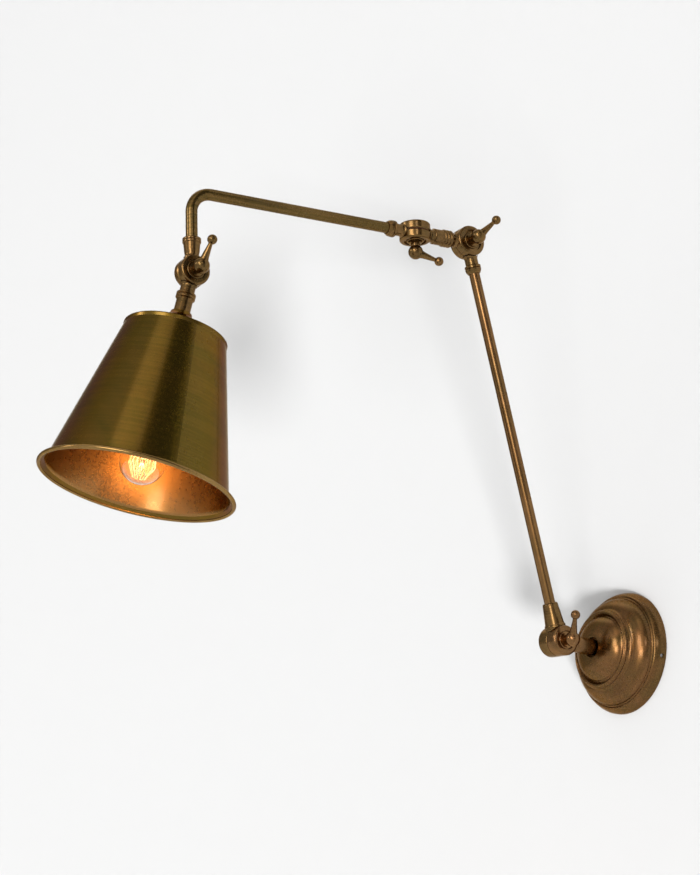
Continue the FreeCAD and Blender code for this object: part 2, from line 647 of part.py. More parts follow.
shadeBase = topRadius - 0.35
foot = size("shadeFoot")
footRadius = size("shadeFootRadius")
turned("shade_cone", [
    (shadeBase - wall, top + 2.65), (shadeBase, top + 2.65), (footRadius, foot),
    (rimRadius - rimWire * 0.9035, rim - 0.7, 6.5, -1), (rimRadius - rimWire * 0.9035, rim + 0.3),
    (footRadius - wall, foot + 0.6, 7.4, 1)], shadeFrame)
turned("shade_rim_bead", [
    (rimRadius - rimWire * 0.9035, rim - rimWire * 0.4286), (rimRadius, rim - rimWire, rimWire, 1),
    (rimRadius + rimWire, rim, rimWire, 1), (rimRadius, rim + rimWire, rimWire, 1),
    (rimRadius - rimWire * 0.9035, rim + rimWire * 0.4286, rimWire, 1)], shadeFrame)
hexNut("shade_lock_nut", 8.0, size("nippleRadius") + 0.05, capSeat.value + 1.05, 4.0, shadeFrame)
turned("holder_tube", [
    (size("nippleRadius") + 0.05, capSeat + 5.1), (6.9, capSeat + 5.1), (7.4, capSeat + 5.6), (7.4, 99.5),
    (3.6, 99.5), (3.6, 63.0), (size("nippleRadius") + 0.05, 63.0)], shadeFrame)

# lampholder

holderTop = size("holderTop")
holderStep = size("holderShoulder")
holderMouth = size("holderMouth")
holder = size("holderRadius")
turned("holder_dome", [
    (7.45, holderTop), (9.0, holderTop), (9.0, holderTop + 4), (16.6, holderTop + 12, 8, 1),
    (17.0, holderStep - 6), (17.0, holderStep), (15.6, holderStep), (15.6, holderTop + 13),
    (8.6, holderTop + 6.2), (3.7, holderTop + 6.2), (3.7, holderTop + 1.6),
    (7.45, holderTop + 1.6)], shadeFrame)
turned("holder_shell", [
    (17.05, holderStep - 4), (holder - 0.2, holderStep - 4), (holder, holderStep - 2.6),
    (holder, holderMouth - 1),
    (holder - 0.5, holderMouth), (17.05, holderMouth)], shadeFrame)
turned("holder_ring", [
    (holder + 0.05, 138.0), (holder + 3.6, 138.0), (holder + 4.4, 139.0), (holder + 4.4, 142.0),
    (holder + 3.6, 143.0), (holder + 0.05, 143.0)], shadeFrame)
turned("holder_insulator", [
    (0, holderStep + 8), (17.0, holderStep + 8), (17.0, holderMouth - 4), (15.2, holderMouth - 4),
    (15.2, holderStep + 22), (0, holderStep + 22)], shadeFrame)
turned("holder_screw_shell", ring(14.3, 14.9, holderStep + 22.05, holderMouth - 5), shadeFrame)
turned("holder_contact", [
    (0, holderStep + 22.05), (4.0, holderStep + 22.05), (4.0, holderStep + 22.6), (2.0, holderStep + 23.2),
    (2.0, holderStep + 24.0), (0, holderStep + 24.0)], shadeFrame)

# lamp bulb

globe = size("bulbCentre")
globeRadius = size("bulbRadius")
glass = size("glassWall")
bulbFoot = globe + globeRadius - size("bulbLength")
capEnd = bulbFoot + 27.0
neckRadius = 12.6


def globeMeets(radius, across):
    # how far behind the globe's centre a circle of this radius lies on it
    return math.sqrt(radius.value ** 2 - across ** 2)


neckJoin = 17.0
turned("bulb_glass", [
    (neckRadius, capEnd - 4), (neckRadius, capEnd),
    (neckJoin, globe - globeMeets(globeRadius, neckJoin), 16, -1),
    (0, globe + globeRadius, globeRadius, 1), (0, globe + globeRadius - glass),
    (neckJoin - 0.6, globe - globeMeets(globeRadius - glass, neckJoin - 0.6), globeRadius - glass, -1),
    (neckRadius - 0.8, capEnd + 0.3, 16.8, 1), (neckRadius - 0.8, capEnd - 4)], shadeFrame)


def screwCap(label):
    # thin lamp cap with rounded screw ridges
    foot, pitch, ridge = bulbFoot + 3.2, 3.6, 13.2
    start = foot + 2.2
    corners = [(9.5, foot - 1.4), (10.0, foot - 1.9), (12.6, foot), (ridge - 0.9, start)]
    for turn in range(4):
        low = start + turn * pitch
        corners += [(ridge, low + pitch * 0.5, 2.2, 1), (ridge - 0.9, low + pitch, 2.2, 1)]
    corners += [(ridge - 0.5, foot + 17.5), (ridge - 0.15, capEnd), (neckRadius + 0.05, capEnd),
                (neckRadius + 0.05, foot + 17.9), (11.9, foot + 16.6), (11.9, foot + 0.4)]
    return turned(label, corners, shadeFrame)


screwCap("bulb_cap")
turned("bulb_contact", [
    (0, bulbFoot), (3.0, bulbFoot), (4.4, bulbFoot + 0.9, 2.4, 1), (4.4, bulbFoot + 1.2),
    (9.4, bulbFoot + 1.75),
    (9.4, bulbFoot + 3.6), (0, bulbFoot + 3.6)], shadeFrame)
stemTop = globe - 1.0
turned("bulb_stem", [
    (0, capEnd - 3.6), (11.7, capEnd - 3.6), (11.7, capEnd - 3.0), (5.0, capEnd - 0.5, 9, -1),
    (3.0, capEnd + 6),
    (1.3, capEnd + 8.5), (1.3, stemTop - 2.4), (2.2, stemTop - 1.6), (2.2, stemTop - 0.4),
    (1.8, stemTop), (0, stemTop)], shadeFrame)


def wireCage(label, points, radius):
    # one bent wire: a rod for each straight and a ball in each corner
    shapes = []
    for start, end in zip(points, points[1:]):
        shapes.append(Part.makeCylinder(radius, (end - start).Length, start, end - start))
    for point in points:
        shapes.append(Part.makeSphere(radius * 1.02, point))
    piece = doc.addObject("Part::Feature", label)
    piece.Shape = shapes[0].multiFuse(shapes[1:])
    return finished(piece, label, shadeFrame)


hangers = 8
cageLevels = {"high": (10.5, globe.value - 13.0), "waist": (13.0, globe.value + 4.0),
              "low": (6.4, globe.value + 16.2)}


def cagePoint(level, index):
    # runs stand evenly round the stem, two runs to a hanger
    radius, height = cageLevels[level]
    around = 2 * math.pi * index / (2 * hangers + 1)
    return FreeCAD.Vector(radius * math.cos(around), radius * math.sin(around), height)


cagePoints = []
for index in range(2 * hangers):
    levels = ("high", "waist", "low") if index % 2 == 0 else ("low", "waist", "high")
    cagePoints += [cagePoint(level, index) for level in levels]
wireCage("bulb_filament", cagePoints, 0.28)


def supportSpider(label):
    # hooks that carry the filament: from the stem's button out to every lower bend
    shapes = [Part.makeCylinder(1.7, 2.4, FreeCAD.Vector(0, 0, stemTop.value))]
    for index in range(hangers):
        end = (cagePoint("low", 2 * index) + cagePoint("low", 2 * index + 1)) * 0.5
        end = FreeCAD.Vector(end.x * 0.95, end.y * 0.95, end.z - 0.35)
        start = FreeCAD.Vector(end.x * 0.12, end.y * 0.12, stemTop.value + 1.0)
        shapes.append(Part.makeCylinder(0.2, (end - start).Length, start, end - start))
    piece = doc.addObject("Part::Feature", label)
    piece.Shape = shapes[0].multiFuse(shapes[1:])
    return finished(piece, label, shadeFrame)


supportSpider("bulb_supports")

# check and write

doc.recompute()
for thing in doc.Objects:
    if "Invalid" in thing.State or "Error" in thing.State:
        raise RuntimeError("%s (%s) failed: %s" % (thing.Name, thing.Label, thing.State))
os.makedirs("parts", exist_ok=True)
for piece in pieces:
    shape = piece.Shape
    if shape.isNull() or not shape.isValid() or not shape.Solids:
        raise RuntimeError("%s has no valid solid" % piece.Label)
    shape.exportStep("parts/%s.step" % piece.Label)
    print("%-24s solids %d  volume %9.1f" % (piece.Label, len(shape.Solids), shape.Volume))
print("pieces", len(pieces))
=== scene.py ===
# Looks for the jointed wall lamp: finishes, bulb glow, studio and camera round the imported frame
import json
import math
import bpy
from mathutils import Matrix, Vector

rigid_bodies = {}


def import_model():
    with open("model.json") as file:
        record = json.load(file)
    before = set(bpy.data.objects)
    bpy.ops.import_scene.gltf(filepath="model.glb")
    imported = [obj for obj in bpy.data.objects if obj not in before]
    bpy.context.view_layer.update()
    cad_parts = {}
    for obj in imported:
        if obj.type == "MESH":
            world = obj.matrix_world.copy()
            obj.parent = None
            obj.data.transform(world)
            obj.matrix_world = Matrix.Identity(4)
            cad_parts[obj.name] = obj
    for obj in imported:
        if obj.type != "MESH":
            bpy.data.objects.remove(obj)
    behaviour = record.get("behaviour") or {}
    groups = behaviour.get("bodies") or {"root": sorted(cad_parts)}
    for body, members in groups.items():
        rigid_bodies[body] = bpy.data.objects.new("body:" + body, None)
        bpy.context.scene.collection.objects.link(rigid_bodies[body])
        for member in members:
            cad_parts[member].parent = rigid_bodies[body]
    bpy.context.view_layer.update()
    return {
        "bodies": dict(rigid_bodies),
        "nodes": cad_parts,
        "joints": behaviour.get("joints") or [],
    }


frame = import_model()
nodes = frame["nodes"]
scene = bpy.context.scene
print("frame loaded:", len(nodes), "nodes")

# the lamp's pivots and lines at rest: the shade leans out from plumb by shadeLean degrees, and the bulb's
# filament is bulbAlong metres down the shade's axis
lampLines = {"shadeLean": 7.8, "bulbAlong": 0.203}
pivots = {joint["name"]: Vector(joint["pos_m"]) for joint in frame["joints"]}
axes = {joint["name"]: Vector(joint["axis"]) for joint in frame["joints"]}
base, elbow, swing, pivot = (pivots[name] for name in ("base_tilt", "elbow_tilt", "arm_swing", "shade_tilt"))
sideways, intoWall = Vector((1, 0, 0)), Vector((0, 1, 0))
lowerLine = (elbow - base).normalized()
upperLine = axes["arm_swing"].cross(sideways).normalized()
shadeLean = math.radians(lampLines["shadeLean"])
shadeLine = Vector((0, -math.sin(shadeLean), -math.cos(shadeLean)))
bumpReach = 0.0001    # how deep a full bump goes, in metres


def addNode(tree, kind, spot, **settings):
    node = tree.nodes.new(kind)
    node.location = spot
    for name, value in settings.items():
        setattr(node, name, value)
    return node


def link(tree, source, target):
    tree.links.new(source, target)


def newGroup(name, inputs, outputs):
    # a shader node group with its sockets made in order
    group = bpy.data.node_groups.new(name, "ShaderNodeTree")
    for label, kind, value in inputs:
        socket = group.interface.new_socket(name=label, in_out="INPUT", socket_type=kind)
        if value is not None:
            socket.default_value = value
    for label, kind in outputs:
        group.interface.new_socket(name=label, in_out="OUTPUT", socket_type=kind)
    start = addNode(group, "NodeGroupInput", (-900, 0))
    end = addNode(group, "NodeGroupOutput", (700, 0))
    return group, start, end


def placeGroup(tree, group, spot, **values):
    node = addNode(tree, "ShaderNodeGroup", spot)
    node.node_tree = group
    for label, value in values.items():
        node.inputs[label].default_value = value
    return node


def radiusFromAxis(tree, spot, place):
    # how far a point is from the Z axis
    flat = addNode(tree, "ShaderNodeVectorMath", spot, operation="MULTIPLY")
    flat.inputs[1].default_value = (1.0, 1.0, 0.0)
    radius = addNode(tree, "ShaderNodeVectorMath", (spot[0] + 160, spot[1]), operation="LENGTH")
    link(tree, place, flat.inputs[0])
    link(tree, flat.outputs[0], radius.inputs[0])
    return radius.outputs["Value"]


def makeTurnedLines():
    # fine lines left by the tool, and broader bands, about the Z axis of the vector that comes in: rings where
    # Along is 1 and Waver small, lengthwise lines where Along is small and Waver is the tube's radius
    look = {"detail": 1.0, "bandScale": 0.16}
    group, start, end = newGroup(
        "turnedLines",
        [("Vector", "NodeSocketVector", None), ("Fineness", "NodeSocketFloat", 500.0),
         ("Waver", "NodeSocketFloat", 0.002), ("Along", "NodeSocketFloat", 1.0)],
        [("Lines", "NodeSocketFloat"), ("Bands", "NodeSocketFloat")])
    parts = addNode(group, "ShaderNodeSeparateXYZ", (-700, 100))
    radius = radiusFromAxis(group, (-700, -100), start.outputs["Vector"])
    around = addNode(group, "ShaderNodeMath", (-540, -260), operation="ARCTAN2")
    wobble = addNode(group, "ShaderNodeMath", (-380, -260), operation="MULTIPLY")
    drawn = addNode(group, "ShaderNodeMath", (-380, 100), operation="MULTIPLY")
    spot = addNode(group, "ShaderNodeCombineXYZ", (-220, 0))
    slow = addNode(group, "ShaderNodeMath", (-220, -260), operation="MULTIPLY")
    slow.inputs[1].default_value = look["bandScale"]
    fine = addNode(group, "ShaderNodeTexNoise", (-20, 120))
    fine.inputs["Detail"].default_value = look["detail"]
    wide = addNode(group, "ShaderNodeTexNoise", (-20, -160))
    wide.inputs["Detail"].default_value = look["detail"]
    link(group, start.outputs["Vector"], parts.inputs[0])
    link(group, parts.outputs["Y"], around.inputs[0])
    link(group, parts.outputs["X"], around.inputs[1])
    link(group, around.outputs[0], wobble.inputs[0])
    link(group, start.outputs["Waver"], wobble.inputs[1])
    link(group, parts.outputs["Z"], drawn.inputs[0])
    link(group, start.outputs["Along"], drawn.inputs[1])
    link(group, drawn.outputs[0], spot.inputs["X"])
    link(group, radius, spot.inputs["Y"])
    link(group, wobble.outputs[0], spot.inputs["Z"])
    link(group, spot.outputs[0], fine.inputs["Vector"])
    link(group, spot.outputs[0], wide.inputs["Vector"])
    link(group, start.outputs["Fineness"], fine.inputs["Scale"])
    link(group, start.outputs["Fineness"], slow.inputs[0])
    link(group, slow.outputs[0], wide.inputs["Scale"])
    link(group, fine.outputs["Fac"], end.inputs["Lines"])
    link(group, wide.outputs["Fac"], end.inputs["Bands"])
    return group


def makePatina():
    # slow cloudy darkening, broad blotches, small specks and fine grain, each from 0 to 1
    speckEdge = {"outer": 0.16, "inner": 0.05}
    group, start, end = newGroup(
        "agedPatina",
        [("Vector", "NodeSocketVector", None), ("Cloud Size", "NodeSocketFloat", 22.0),
         ("Blotch Size", "NodeSocketFloat", 9.0), ("Speck Size", "NodeSocketFloat", 420.0)],
        [("Clouds", "NodeSocketFloat"), ("Blotches", "NodeSocketFloat"), ("Specks", "NodeSocketFloat"),
         ("Fine", "NodeSocketFloat")])
    layers = {
        "Clouds": {"size": "Cloud Size", "detail": 5.0, "rough": 0.58, "twist": 0.5, "low": 0.33, "high": 0.68},
        "Blotches": {"size": "Blotch Size", "detail": 4.0, "rough": 0.62, "twist": 1.4, "low": 0.42,
                     "high": 0.62},
        "Fine": {"size": "Speck Size", "detail": 4.0, "rough": 0.5, "twist": 0.0, "low": 0.0, "high": 1.0},
    }
    for row, (label, look) in enumerate(layers.items()):
        noise = addNode(group, "ShaderNodeTexNoise", (-500, 300 - 260 * row))
        noise.inputs["Detail"].default_value = look["detail"]
        noise.inputs["Roughness"].default_value = look["rough"]
        noise.inputs["Distortion"].default_value = look["twist"]
        spread = addNode(group, "ShaderNodeMapRange", (-250, 300 - 260 * row))
        spread.inputs["From Min"].default_value = look["low"]
        spread.inputs["From Max"].default_value = look["high"]
        link(group, start.outputs["Vector"], noise.inputs["Vector"])
        link(group, start.outputs[look["size"]], noise.inputs["Scale"])
        link(group, noise.outputs["Fac"], spread.inputs["Value"])
        link(group, spread.outputs["Result"], end.inputs[label])
    speck = addNode(group, "ShaderNodeTexVoronoi", (-500, -500), feature="F1")
    small = addNode(group, "ShaderNodeMapRange", (-250, -500), interpolation_type="SMOOTHSTEP")
    small.inputs["From Min"].default_value = speckEdge["outer"]
    small.inputs["From Max"].default_value = speckEdge["inner"]
    link(group, start.outputs["Vector"], speck.inputs["Vector"])
    link(group, start.outputs["Speck Size"], speck.inputs["Scale"])
    link(group, speck.outputs["Distance"], small.inputs["Value"])
    link(group, small.outputs["Result"], end.inputs["Specks"])
    return group


def makeEdgeWearAndGlint():
    # 1 on edges, where a polishing cloth wears the brass bright and where painted highlight stands in for the
    # light
    # rounded edges catch, 0 on open faces: flat and sharp are how nearly the rounded normal agrees with the
    # face's own
    look = {"samples": 4, "flat": 0.995, "sharp": 0.9, "patches": 160.0, "detail": 3.0, "low": 0.35,
            "high": 0.6}
    group, start, end = newGroup(
        "edgeWearAndGlint",
        [("Reach", "NodeSocketFloat", 0.0006), ("Vector", "NodeSocketVector", None)],
        [("Mask", "NodeSocketFloat")])
    soft = addNode(group, "ShaderNodeBevel", (-600, 0), samples=look["samples"])
    plain = addNode(group, "ShaderNodeNewGeometry", (-600, -200))
    same = addNode(group, "ShaderNodeVectorMath", (-400, 0), operation="DOT_PRODUCT")
    rise = addNode(group, "ShaderNodeMapRange", (-220, 0), interpolation_type="SMOOTHSTEP")
    rise.inputs["From Min"].default_value = look["flat"]
    rise.inputs["From Max"].default_value = look["sharp"]
    patchy = addNode(group, "ShaderNodeTexNoise", (-420, -420))
    patchy.inputs["Scale"].default_value = look["patches"]
    patchy.inputs["Detail"].default_value = look["detail"]
    broken = addNode(group, "ShaderNodeMapRange", (-220, -420))
    broken.inputs["From Min"].default_value = look["low"]
    broken.inputs["From Max"].default_value = look["high"]
    both = addNode(group, "ShaderNodeMath", (0, -60), operation="MULTIPLY")
    link(group, start.outputs["Reach"], soft.inputs["Radius"])
    link(group, soft.outputs["Normal"], same.inputs[0])
    link(group, plain.outputs["Normal"], same.inputs[1])
    link(group, same.outputs["Value"], rise.inputs["Value"])
    link(group, start.outputs["Vector"], patchy.inputs["Vector"])
    link(group, patchy.outputs["Fac"], broken.inputs["Value"])
    link(group, rise.outputs["Result"], both.inputs[0])
    link(group, broken.outputs["Result"], both.inputs[1])
    link(group, both.outputs[0], end.inputs["Mask"])
    return group


turnedLines = makeTurnedLines()
agedPatina = makePatina()
edgeWearAndGlint = makeEdgeWearAndGlint()
print("effect groups made")


def shaded(red, green, blue):
    # a colour as a paint chart gives it, 0 to 255, for a shader socket
    out = []
    for part in (red, green, blue):
        share = part / 255.0
        out.append(share / 12.92 if share <= 0.04045 else ((share + 0.055) / 1.055) ** 2.4)
    return (out[0], out[1], out[2], 1.0)


def mixColours(tree, spot, factor, first, second):
    # a colour mix has its factor at socket 0 and its two colours at 6 and 7
    node = addNode(tree, "ShaderNodeMix", spot, data_type="RGBA")
    for index, value in ((0, factor), (6, first), (7, second)):
        if isinstance(value, (float, tuple)):
            node.inputs[index].default_value = value
        else:
            link(tree, value, node.inputs[index])
    return node.outputs[2]


def rangeOf(tree, spot, value, low, high, fromLow=0.0, fromHigh=1.0):
    # a value from fromLow to fromHigh, stretched to run from low to high
    node = addNode(tree, "ShaderNodeMapRange", spot)
    node.inputs["From Min"].default_value = fromLow
    node.inputs["From Max"].default_value = fromHigh
    node.inputs["To Min"].default_value = low
    node.inputs["To Max"].default_value = high
    link(tree, value, node.inputs["Value"])
    return node.outputs["Result"]


def newMaterial(name):
    material = bpy.data.materials.new(name)
    material.use_nodes = True
    tree = material.node_tree
    shader = tree.nodes["Principled BSDF"]
    place = addNode(tree, "ShaderNodeTexCoord", (-1500, 0))
    return material, tree, shader, place.outputs["Object"]


def addBump(tree, shader, spot, height, strength, reach=bumpReach):
    bump = addNode(tree, "ShaderNodeBump", spot)
    bump.inputs["Strength"].default_value = strength
    bump.inputs["Distance"].default_value = reach
    link(tree, height, bump.inputs["Height"])
    link(tree, bump.outputs["Normal"], shader.inputs["Normal"])


def mixWithClear(tree, shader, factor, tint):
    # the surface gives way to a clear one where the factor is 1
    clear = addNode(tree, "ShaderNodeBsdfTransparent", (100, -200))
    clear.inputs["Color"].default_value = tint
    mix = addNode(tree, "ShaderNodeMixShader", (450, 100))
    output = tree.nodes["Material Output"]
    output.location = (650, 100)
    link(tree, factor, mix.inputs[0])
    link(tree, shader.outputs[0], mix.inputs[1])
    link(tree, clear.outputs[0], mix.inputs[2])
    link(tree, mix.outputs[0], output.inputs["Surface"])


def turnToAxis(origin, axis):
    # the rotation and shift that bring a line of the lamp onto the Z axis
    turn = axis.normalized().rotation_difference(Vector((0, 0, 1))).to_matrix()
    return turn.to_euler("XYZ"), -(turn @ origin)


def innerFaceMask(tree, place, cone):
    # 1 on the inner face of a thin cone about the Z axis, 0 on its outer face: the two are told apart by the
    # radius half way through the wall, which grows with height
    radius = radiusFromAxis(tree, (-1050, -760), place)
    parts = addNode(tree, "ShaderNodeSeparateXYZ", (-1050, -600))
    limit = addNode(tree, "ShaderNodeMath", (-880, -600), operation="MULTIPLY_ADD")
    limit.inputs[1].default_value = cone["growth"]
    limit.inputs[2].default_value = cone["start"]
    mask = addNode(tree, "ShaderNodeMath", (-700, -680), operation="LESS_THAN")
    link(tree, place, parts.inputs[0])
    link(tree, parts.outputs["Z"], limit.inputs[0])
    link(tree, radius, mask.inputs[0])
    link(tree, limit.outputs[0], mask.inputs[1])
    return mask.outputs[0]


def agedBrass(name, look, origin, axis, inner=None):
    # lacquered brass with a brown patina: clouds, olive blotches, tool lines about an axis, edges bright from
    # wear and from painted highlight, and on a thin cone an inner face painted paler as painted light from
    # inside the shade
    material, tree, shader, where = newMaterial(name)
    turn, shift = turnToAxis(origin, axis)
    mapping = addNode(tree, "ShaderNodeMapping", (-1300, 0), vector_type="POINT")
    mapping.inputs["Rotation"].default_value = turn
    mapping.inputs["Location"].default_value = shift
    link(tree, where, mapping.inputs["Vector"])
    lines = placeGroup(tree, turnedLines, (-1050, 200), Fineness=look["fineness"], Waver=look["waver"],
                       Along=look["along"])
    link(tree, mapping.outputs[0], lines.inputs["Vector"])
    patina = placeGroup(tree, agedPatina, (-1050, -50), **{
        "Cloud Size": look["clouds"], "Blotch Size": look["blotches"], "Speck Size": look["specks"]})
    link(tree, where, patina.inputs["Vector"])
    wearAndGlint = placeGroup(tree, edgeWearAndGlint, (-1050, -350), Reach=look["edge"])
    link(tree, where, wearAndGlint.inputs["Vector"])
    colour = mixColours(tree, (-750, 200), patina.outputs["Clouds"], look["dark"], look["main"])
    # each layer's mask, its colour, how strong it is, and where on the mask it starts and ends
    layers = (
        (patina.outputs["Blotches"], "olive", "oliveTone", 0.0, 1.0),
        (lines.outputs["Lines"], "light", "lineTone", 0.42, 0.62),
        (lines.outputs["Bands"], "dark", "bandTone", 0.4, 0.65),
        (patina.outputs["Specks"], "speck", "speckTone", 0.0, 1.0),
        # edges turn bright both as real wear and as painted highlight where rounded edges catch light
        (wearAndGlint.outputs["Mask"], "bright", "wearAndGlint", 0.0, 1.0),
    )
    for step, (mask, tone, amount, low, high) in enumerate(layers):
        share = rangeOf(tree, (-750 + 180 * step, 420), mask, 0.0, look[amount], low, high)
        colour = mixColours(tree, (-560 + 180 * step, 200), share, colour, look[tone])
    rough = addNode(tree, "ShaderNodeMath", (-380, -120), operation="ADD")
    link(tree, rangeOf(tree, (-560, -60), patina.outputs["Clouds"], look["rough"] + look["cloudRough"],
                       look["rough"]), rough.inputs[0])
    link(tree, rangeOf(tree, (-560, -220), patina.outputs["Fine"], *look["grainRough"], *look["grainSpan"]),
         rough.inputs[1])
    finish = rough.outputs[0]
    # the inner face gets a paler colour, painted light that stands in for the warm light inside the shade, and
    # a duller finish
    if inner:
        mask = innerFaceMask(tree, mapping.outputs[0], inner)
        share = rangeOf(tree, (150, 420), mask, 0.0, inner["share"])
        colour = mixColours(tree, (340, 200), share, colour, inner["tone"])
        duller = addNode(tree, "ShaderNodeMath", (-200, -120), operation="MULTIPLY_ADD")
        duller.inputs[1].default_value = inner["duller"]
        link(tree, mask, duller.inputs[0])
        link(tree, finish, duller.inputs[2])
        finish = duller.outputs[0]
    link(tree, colour, shader.inputs["Base Color"])
    link(tree, finish, shader.inputs["Roughness"])
    height = addNode(tree, "ShaderNodeMath", (-380, -400), operation="MULTIPLY_ADD")
    height.inputs[1].default_value = look["grain"]
    link(tree, patina.outputs["Fine"], height.inputs[0])
    link(tree, lines.outputs["Lines"], height.inputs[2])
    addBump(tree, shader, (-200, -300), height.outputs[0], look["bump"])
    shader.inputs["Metallic"].default_value = 1.0
    shader.inputs["Specular Tint"].default_value = look["rim"]
    shader.inputs["Coat Weight"].default_value = look["lacquer"]
    shader.inputs["Coat Roughness"].default_value = look["lacquerRough"]
    return material


brassLook = {
    "main": shaded(120, 86, 46), "dark": shaded(84, 60, 28), "light": shaded(142, 106, 60),
    "olive": shaded(92, 76, 34), "bright": shaded(190, 152, 98), "speck": shaded(46, 34, 16),
    "rim": shaded(206, 184, 156), "fineness": 520.0, "waver": 0.002, "along": 1.0, "clouds": 18.0,
    "blotches": 14.0, "specks": 300.0, "edge": 0.0005, "oliveTone": 0.5, "lineTone": 0.25, "bandTone": 0.15,
    "speckTone": 0.06, "wearAndGlint": 0.5, "rough": 0.22, "cloudRough": 0.06, "grainRough": (-0.04, 0.05),
    "grainSpan": (0.3, 0.7), "bump": 0.012, "grain": 0.08, "lacquer": 0.3, "lacquerRough": 0.12,
}

# each kind of piece has the plain brass with some values of its own
shadeLook = dict(brassLook, main=shaded(124, 91, 30), dark=shaded(98, 72, 20), light=shaded(134, 100, 38),
                 olive=shaded(88, 76, 18), rim=shaded(184, 158, 118), clouds=7.0, blotches=6.0,
                 oliveTone=0.75, rough=0.2, lineTone=0.2, speckTone=0.04, lacquer=0.2)
rimLook = dict(brassLook, main=shaded(150, 118, 64), dark=shaded(118, 88, 40), light=shaded(176, 142, 90),
               clouds=20.0, rough=0.18, oliveTone=0.2)
canopyLook = dict(brassLook, main=shaded(132, 92, 54), dark=shaded(86, 60, 32), olive=shaded(84, 68, 32),
                  clouds=12.0, blotches=20.0, rough=0.24, oliveTone=0.6, lacquer=0.2, lineTone=0.15)
jointLook = dict(brassLook, main=shaded(124, 92, 50), dark=shaded(82, 60, 27), olive=shaded(88, 72, 32),
                 clouds=45.0, blotches=50.0, rough=0.2)
baseJointLook = dict(jointLook, main=shaded(140, 100, 60), dark=shaded(96, 68, 38), olive=shaded(100, 76, 42))
tubeLook = dict(brassLook, clouds=26.0, along=0.02, waver=0.006)
upperTubeLook = dict(tubeLook, main=shaded(96, 74, 28), dark=shaded(78, 60, 18), rough=0.24)
lowerTubeLook = dict(tubeLook, main=shaded(130, 94, 54), dark=shaded(98, 68, 34), oliveTone=0.3, rough=0.2)

# the shade's inner face, painted paler as painted light for its warm lit inside, and a little duller:
# start and growth give the radius half way through its wall
shadeInsidePaintedLight = {"start": 0.033081, "growth": 0.24262, "tone": shaded(172, 126, 76), "share": 0.6, "duller": 0.07}

finishes = {
    "shade": agedBrass("spunShadeBrass", shadeLook, pivot, shadeLine, shadeInsidePaintedLight),
    "shadeCap": agedBrass("shadeCapBrass", shadeLook, pivot, shadeLine),
    "rim": agedBrass("rimBrass", rimLook, pivot, shadeLine),
    "canopy": agedBrass("canopyBrass", canopyLook, Vector((0, 0, 0)), intoWall),
    "baseJoint": agedBrass("baseJointBrass", baseJointLook, base, sideways),
    "elbowJoint": agedBrass("elbowJointBrass", jointLook, elbow, sideways),
    "swingJoint": agedBrass("swingJointBrass", jointLook, swing, upperLine.cross(sideways)),
    "headJoint": agedBrass("headJointBrass", jointLook, pivot, sideways),
    "lowerTube": agedBrass("lowerTubeBrass", lowerTubeLook, base, lowerLine),
    "upperTube": agedBrass("upperTubeBrass", upperTubeLook, swing, upperLine),
    "coupler": agedBrass("couplerBrass", jointLook, swing, upperLine),
    "socket": agedBrass("socketBrass", jointLook, base, lowerLine),
}
print("brass finishes made")

# how the grain of the small finishes lightens their colour and changes their roughness
grainLook = {"share": 0.5, "from": (0.4, 0.7), "rough": (-0.05, 0.07), "roughFrom": (0.3, 0.7)}


def plainFinish(name, look):
    # a finish for the small parts: one colour, clouded and slightly uneven
    material, tree, shader, where = newMaterial(name)
    patina = placeGroup(tree, agedPatina, (-900, 0), **{
        "Cloud Size": look["clouds"], "Speck Size": look["grain"]})
    link(tree, where, patina.inputs["Vector"])
    colour = mixColours(tree, (-500, 150), patina.outputs["Clouds"], look["dark"], look["main"])
    fine = patina.outputs["Fine"]
    share = rangeOf(tree, (-500, 350), fine, 0.0, grainLook["share"], *grainLook["from"])
    link(tree, mixColours(tree, (-300, 150), share, colour, look["light"]), shader.inputs["Base Color"])
    smooth, coarse = (look["rough"] + change for change in grainLook["rough"])
    link(tree, rangeOf(tree, (-500, -100), fine, smooth, coarse, *grainLook["roughFrom"]),
         shader.inputs["Roughness"])
    addBump(tree, shader, (-300, -300), fine, look["bump"])
    shader.inputs["Metallic"].default_value = look["metal"]
    return material


finishes["brightBrass"] = plainFinish("brightBrass", {
    "main": shaded(214, 176, 98), "dark": shaded(176, 138, 70), "light": shaded(228, 194, 122),
    "clouds": 60.0, "grain": 500.0, "rough": 0.28, "bump": 0.1, "metal": 1.0})
finishes["steel"] = plainFinish("platedSteel", {
    "main": shaded(176, 178, 180), "dark": shaded(140, 143, 148), "light": shaded(205, 206, 208),
    "clouds": 60.0, "grain": 600.0, "rough": 0.33, "bump": 0.1, "metal": 1.0})
finishes["fibre"] = plainFinish("fibreWasher", {
    "main": shaded(96, 52, 34), "dark": shaded(70, 36, 24), "light": shaded(124, 74, 50),
    "clouds": 90.0, "grain": 900.0, "rough": 0.8, "bump": 0.5, "metal": 0.0})
finishes["blackPlastic"] = plainFinish("blackPlastic", {
    "main": shaded(34, 33, 32), "dark": shaded(24, 24, 24), "light": shaded(52, 51, 50),
    "clouds": 40.0, "grain": 1200.0, "rough": 0.5, "bump": 0.3, "metal": 0.0})
finishes["porcelain"] = plainFinish("glazedPorcelain", {
    "main": shaded(232, 228, 216), "dark": shaded(214, 208, 192), "light": shaded(242, 240, 232),
    "clouds": 50.0, "grain": 300.0, "rough": 0.18, "bump": 0.08, "metal": 0.0})
print("small finishes made")


